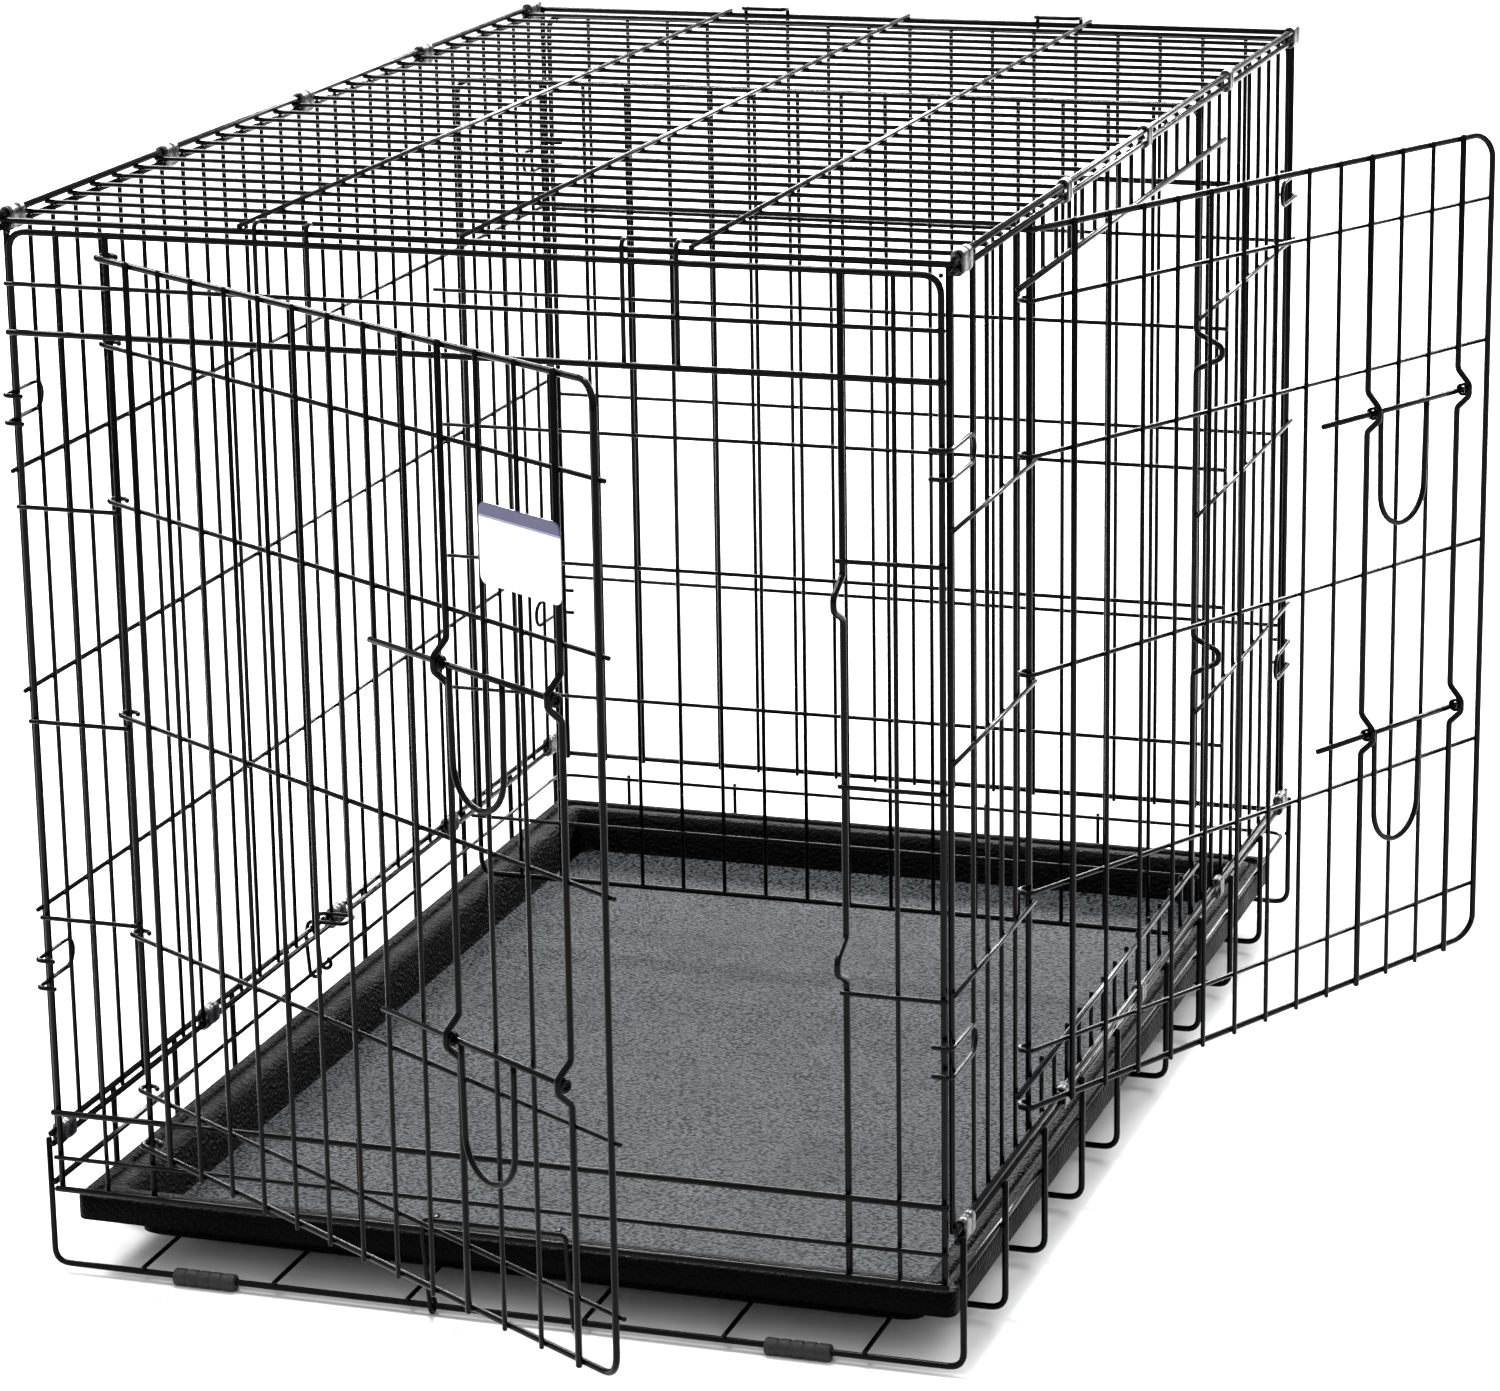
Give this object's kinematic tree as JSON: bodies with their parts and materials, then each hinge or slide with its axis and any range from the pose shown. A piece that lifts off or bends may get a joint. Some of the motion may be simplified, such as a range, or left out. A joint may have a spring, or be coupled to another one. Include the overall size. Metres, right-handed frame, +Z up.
{
  "type": "dog crate",
  "caption": "Folding black wire dog crate with barred front and side doors on slide bolts, a divider panel and a plastic floor tray.",
  "frame": {"origin": "bottom centre of the whole crate's bounding box with both doors part open, on the floor under the rubber feet", "axes": "+Y from the front door's end to the back panel, +X from the left side to the side with the second door, +Z up"},
  "size_m": [0.8038, 1.1898, 0.6811],
  "materials": {
    "black_wire": "glossy black dip coat on steel wire",
    "clip_steel": "dark coated pressed steel strip",
    "tray_plastic": "black moulded plastic, satin with a pebbled floor",
    "foot_rubber": "matt black",
    "tag_card": "coated white card, plain"
  },
  "bodies": {
    "crate": {"base_frame": "black_wire", "left_side_panel": "black_wire", "right_side_panel": "black_wire", "front_panel": "black_wire", "back_panel": "black_wire", "top_panel": "black_wire", "divider_panel": "black_wire", "top_left_clip_1": "clip_steel", "top_left_clip_2": "clip_steel", "top_left_clip_3": "clip_steel", "top_left_clip_4": "clip_steel", "top_left_clip_5": "clip_steel", "top_right_clip_1": "clip_steel", "top_right_clip_2": "clip_steel", "top_right_clip_3": "clip_steel", "top_right_clip_4": "clip_steel", "top_right_clip_5": "clip_steel", "bottom_left_clip_1": "clip_steel", "bottom_left_clip_2": "clip_steel", "bottom_left_clip_3": "clip_steel", "bottom_left_clip_4": "clip_steel", "bottom_left_clip_5": "clip_steel", "bottom_right_clip_1": "clip_steel", "bottom_right_clip_2": "clip_steel", "bottom_right_clip_3": "clip_steel", "bottom_right_clip_4": "clip_steel", "bottom_right_clip_5": "clip_steel", "front_left_foot": "foot_rubber", "front_right_foot": "foot_rubber", "back_left_foot": "foot_rubber", "back_right_foot": "foot_rubber"},
    "front_door_leaf": {"front_door": "black_wire", "door_tag": "tag_card"},
    "side_door_leaf": {"side_door": "black_wire"},
    "front_door_upper_bolt_body": {"front_door_upper_bolt": "black_wire"},
    "front_door_lower_bolt_body": {"front_door_lower_bolt": "black_wire"},
    "side_door_upper_bolt_body": {"side_door_upper_bolt": "black_wire"},
    "side_door_lower_bolt_body": {"side_door_lower_bolt": "black_wire"},
    "tray_body": {"tray": "tray_plastic"},
    "tray_stop_body": {"tray_stop": "black_wire"},
    "fold_hook_body": {"fold_hook": "black_wire"}
  },
  "joints": [
    {"name": "front_door_hinge", "type": "hinge", "parent": "crate", "child": "front_door_leaf", "pos_m": [-0.3248, -0.3349, 0.306], "axis": [0, 0, 1], "range_deg": [-118, 31.8]},
    {"name": "side_door_hinge", "type": "hinge", "parent": "crate", "child": "side_door_leaf", "pos_m": [0.1922, -0.1573, 0.306], "axis": [0, 0, 1], "range_deg": [-123, 26.5]},
    {"name": "front_door_upper_bolt_slide", "type": "slide", "parent": "front_door_leaf", "child": "front_door_upper_bolt_body", "axis": [0.8499, -0.527, 0], "range_m": [0, 0.036]},
    {"name": "front_door_lower_bolt_slide", "type": "slide", "parent": "front_door_leaf", "child": "front_door_lower_bolt_body", "axis": [0.8499, -0.527, 0], "range_m": [0, 0.036]},
    {"name": "side_door_upper_bolt_slide", "type": "slide", "parent": "side_door_leaf", "child": "side_door_upper_bolt_body", "axis": [0.4462, 0.8949, 0], "range_m": [0, 0.034]},
    {"name": "side_door_lower_bolt_slide", "type": "slide", "parent": "side_door_leaf", "child": "side_door_lower_bolt_body", "axis": [0.4462, 0.8949, 0], "range_m": [0, 0.034]},
    {"name": "tray_slide", "type": "slide", "parent": "crate", "child": "tray_body", "axis": [0, -1, 0], "range_m": [0, 0.084]},
    {"name": "tray_stop_hinge", "type": "hinge", "parent": "crate", "child": "tray_stop_body", "pos_m": [-0.0983, -0.3307, 0.006], "axis": [1, 0, 0], "range_deg": [0, 78.5]},
    {"name": "fold_hook_hinge", "type": "hinge", "parent": "crate", "child": "fold_hook_body", "pos_m": [-0.3943, 0.0948, 0.061], "axis": [0, -1, 0], "range_deg": [0, 100]}
  ],
  "couplings": [
    {"joint": "tray_stop_hinge", "follows": "tray_slide", "rad_per_m": 16.23}
  ]
}
